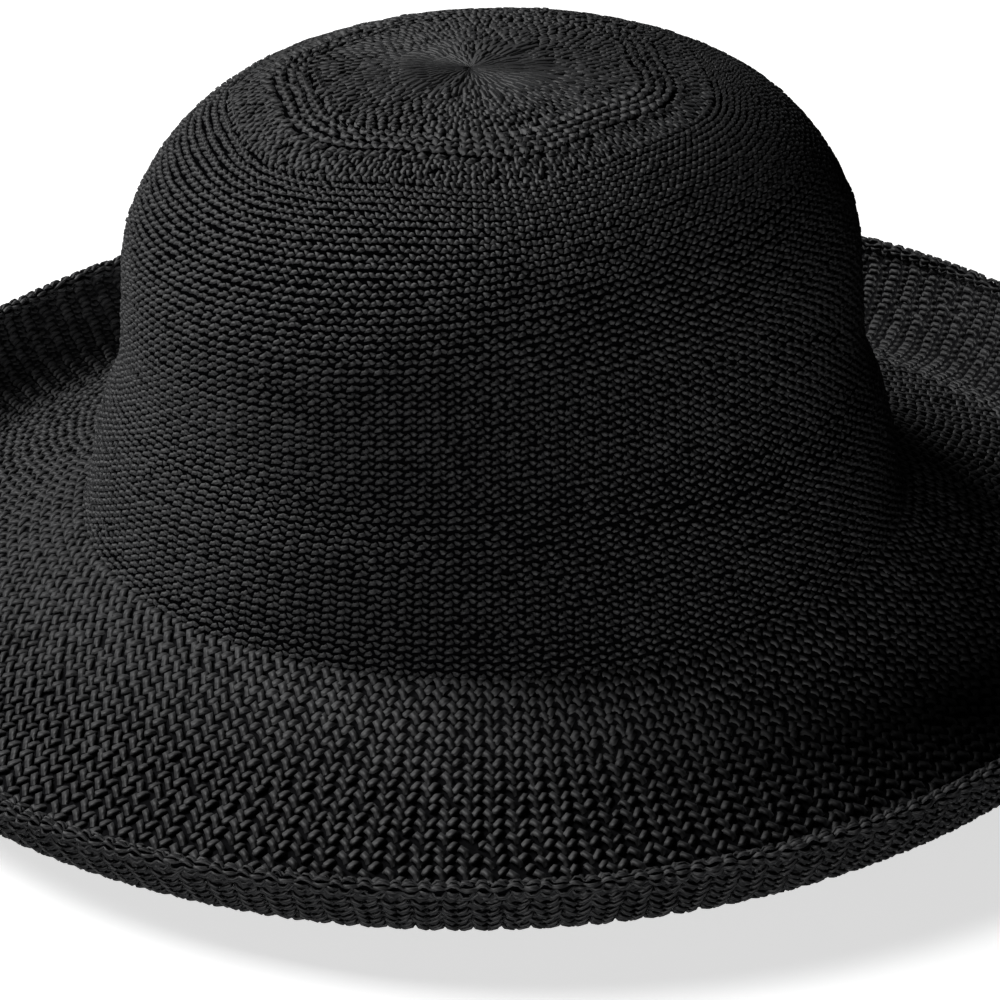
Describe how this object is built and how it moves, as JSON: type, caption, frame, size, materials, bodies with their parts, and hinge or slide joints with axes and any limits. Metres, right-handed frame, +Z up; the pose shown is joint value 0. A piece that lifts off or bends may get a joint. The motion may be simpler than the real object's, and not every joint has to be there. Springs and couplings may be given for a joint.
{
  "type": "wide-brim sun hat",
  "caption": "Knitted wide-brim sun hat with a rounded crown, a brim that slopes down and turns up, and a rolled edge.",
  "frame": {"origin": "centre of the bounding box at the surface that the brim rests on", "axes": "+Z up through the crown, -Y to the front, +X to the right as the front is seen"},
  "size_m": [0.328, 0.329, 0.126],
  "materials": {
    "crown_knit": "knitted black yarn, purl bumps, soft sheen",
    "brim_knit": "coarser knitted black yarn, soft sheen",
    "edge_knit": "rolled edge of knitted black yarn"
  },
  "bodies": {
    "root": {"crown": "crown_knit", "brim": "brim_knit", "rolled_edge": "edge_knit"}
  },
  "joints": []
}
